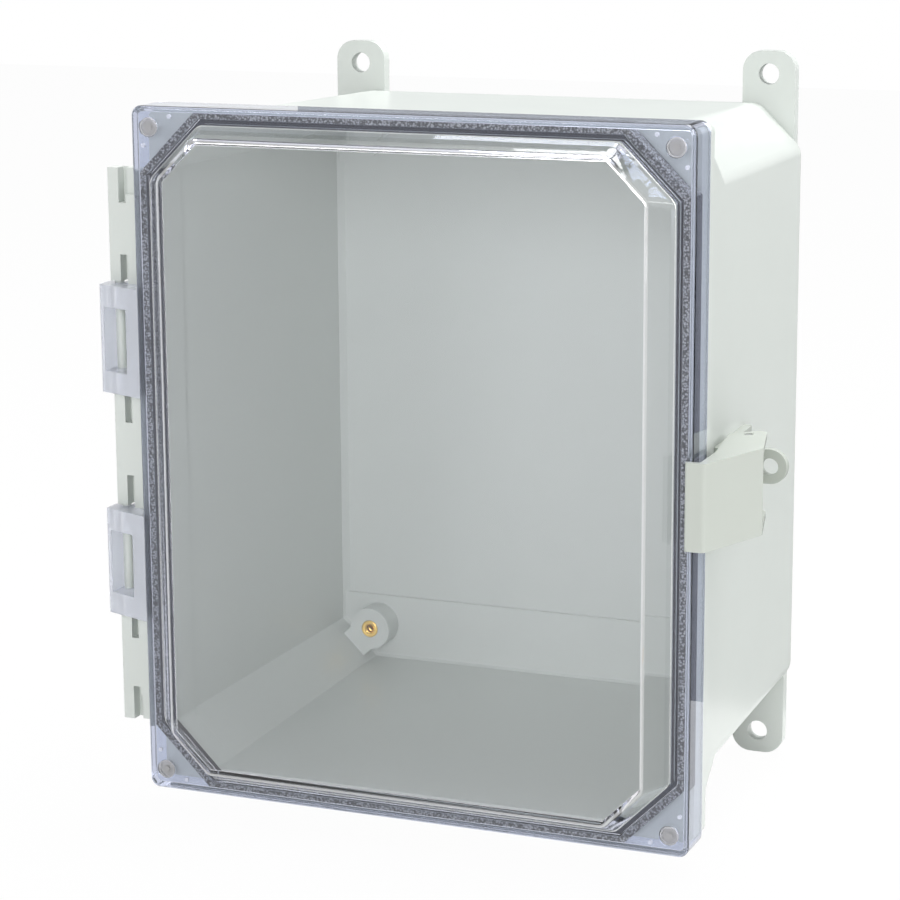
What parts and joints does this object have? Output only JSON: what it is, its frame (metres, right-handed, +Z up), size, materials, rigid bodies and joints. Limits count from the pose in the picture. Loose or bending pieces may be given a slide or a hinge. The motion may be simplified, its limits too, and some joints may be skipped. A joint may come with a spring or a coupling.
{
  "type": "wall enclosure",
  "caption": "Moulded fiberglass wall enclosure with a hinged clear cover, a raised window, a side snap latch with a padlock tab, and mounting feet at its back.",
  "frame": {"origin": "on the wall plane behind the back, in the middle of the four foot holes", "axes": "+X to the right seen from the front, +Y into the wall, +Z up; the cover faces -Y"},
  "size_m": [0.2698, 0.184, 0.302],
  "materials": {
    "fiberglass": "semi-gloss light grey moulded fiberglass",
    "latch_plastic": "satin light grey moulded plastic",
    "clear_plastic": "clear polycarbonate with a faint violet tint at its edges",
    "plug_plastic": "translucent natural plastic",
    "gasket_foam": "grainy grey foam",
    "brass": "bright turned brass",
    "steel": "plain stainless steel"
  },
  "bodies": {
    "enclosure": {"box_body": "fiberglass", "hinge_rail": "fiberglass", "latch_bracket": "fiberglass", "latch_bracket_screws": "steel", "latch_pin": "steel", "panel_insert_upper_left": "brass", "panel_insert_upper_right": "brass", "panel_insert_lower_left": "brass", "panel_insert_lower_right": "brass"},
    "cover": {"clear_cover": "clear_plastic", "cover_gasket": "gasket_foam", "hinge_loop_upper": "clear_plastic", "hinge_loop_lower": "clear_plastic", "corner_plug_upper_left": "plug_plastic", "corner_plug_upper_right": "plug_plastic", "corner_plug_lower_left": "plug_plastic", "corner_plug_lower_right": "plug_plastic"},
    "latch": {"latch_lever": "latch_plastic"}
  },
  "joints": [
    {"name": "cover_hinge", "type": "hinge", "parent": "enclosure", "child": "cover", "pos_m": [-0.1329, -0.153, 0], "axis": [0, 0, -1], "range_deg": [0, 135]},
    {"name": "latch_pivot", "type": "hinge", "parent": "enclosure", "child": "latch", "pos_m": [0.11959, -0.1215, 0], "axis": [0, 0, 1], "range_deg": [0, 90]}
  ]
}
